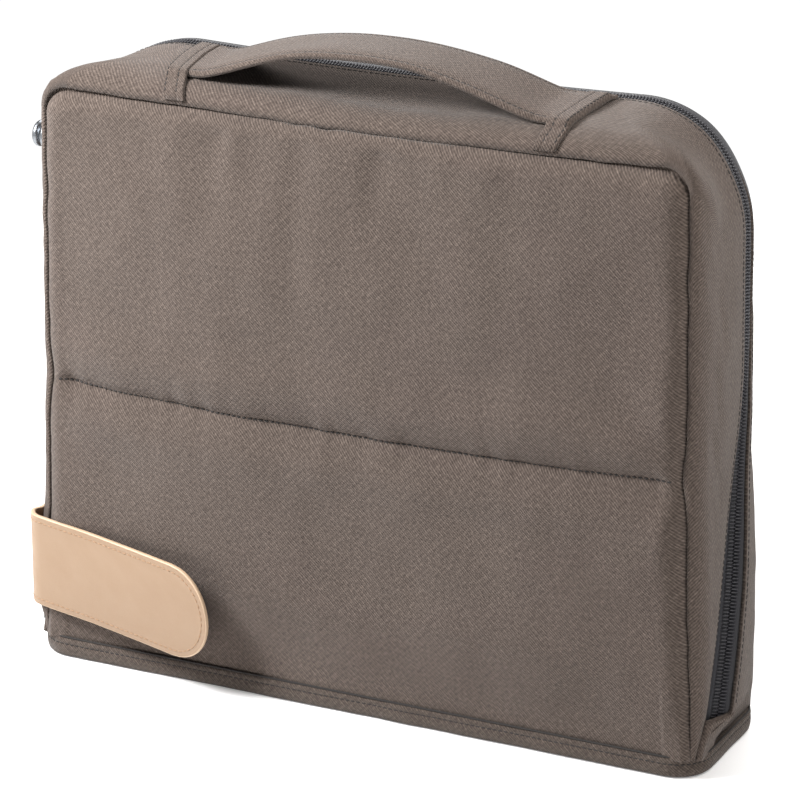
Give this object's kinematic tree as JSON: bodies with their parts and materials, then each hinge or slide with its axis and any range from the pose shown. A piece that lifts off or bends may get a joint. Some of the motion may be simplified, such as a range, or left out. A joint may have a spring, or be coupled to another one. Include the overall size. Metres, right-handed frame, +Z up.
{
  "type": "laptop sleeve",
  "caption": "Boxy padded fabric laptop bag with a zip-around front cover, a flat strap handle on top and a leather snap belt at one lower corner.",
  "frame": {"origin": "centre of the base's underside, on the surface that the bag stands on", "axes": "+X across the width towards the zip side seen in front, +Y from the front cover to the back, +Z up"},
  "size_m": [0.3461, 0.0966, 0.3158],
  "materials": {
    "woven_fabric": "melange plain weave",
    "binding_fabric": "melange plain weave",
    "foam": "soft polyurethane foam",
    "lining": "smooth woven lining",
    "zip_tape": "woven zip tape",
    "zip_coil": "nylon coil",
    "base_board": "stiffening board",
    "gunmetal": "gunmetal plating",
    "tan_leather": "smooth vegetable-tanned"
  },
  "bodies": {
    "bag": {"back_panel": "woven_fabric", "body_gusset": "woven_fabric", "front_lip": "woven_fabric", "body_foam": "foam", "body_lining": "lining", "body_zip_tape": "zip_tape", "body_zip_coil": "zip_coil", "zip_end_left": "woven_fabric", "zip_end_right": "woven_fabric", "base_panel": "woven_fabric", "base_board": "base_board", "base_band": "binding_fabric", "laptop_divider": "lining", "slip_pocket": "lining"},
    "cover": {"front_panel": "woven_fabric", "cover_gusset": "woven_fabric", "front_foam_upper": "foam", "front_foam_lower": "foam", "cover_gusset_foam": "foam", "cover_lining": "lining", "cover_zip_tape": "zip_tape", "cover_zip_coil": "zip_coil", "handle_strap": "woven_fabric", "handle_strap_lining": "woven_fabric", "handle_anchor_left": "woven_fabric", "handle_anchor_right": "woven_fabric", "snap_stud": "gunmetal", "snap_washer": "gunmetal", "belt_root_patch": "tan_leather"},
    "belt": {"belt_face": "tan_leather", "belt_backing": "tan_leather", "snap_socket": "gunmetal"},
    "slider": {"zip_slider": "gunmetal"},
    "puller": {"zip_puller": "gunmetal"}
  },
  "joints": [
    {"name": "cover_open", "type": "hinge", "parent": "bag", "child": "cover", "pos_m": [0, -0.039, 0.015], "axis": [1, 0, 0], "range_deg": [0, 90]},
    {"name": "belt_swing", "type": "hinge", "parent": "cover", "child": "belt", "pos_m": [-0.1731, -0.0295, 0.0415], "axis": [0, 0, -1], "range_deg": [0, 100]},
    {"name": "zip_slide", "type": "slide", "parent": "bag", "child": "slider", "axis": [0.0195, 0.2723, 0.962], "range_m": [0, 0.108]},
    {"name": "puller_flip", "type": "hinge", "parent": "slider", "child": "puller", "pos_m": [-0.17363, -0.0193, 0.03308], "axis": [-0.0055, 0.9622, -0.2722], "range_deg": [0, 150]}
  ]
}
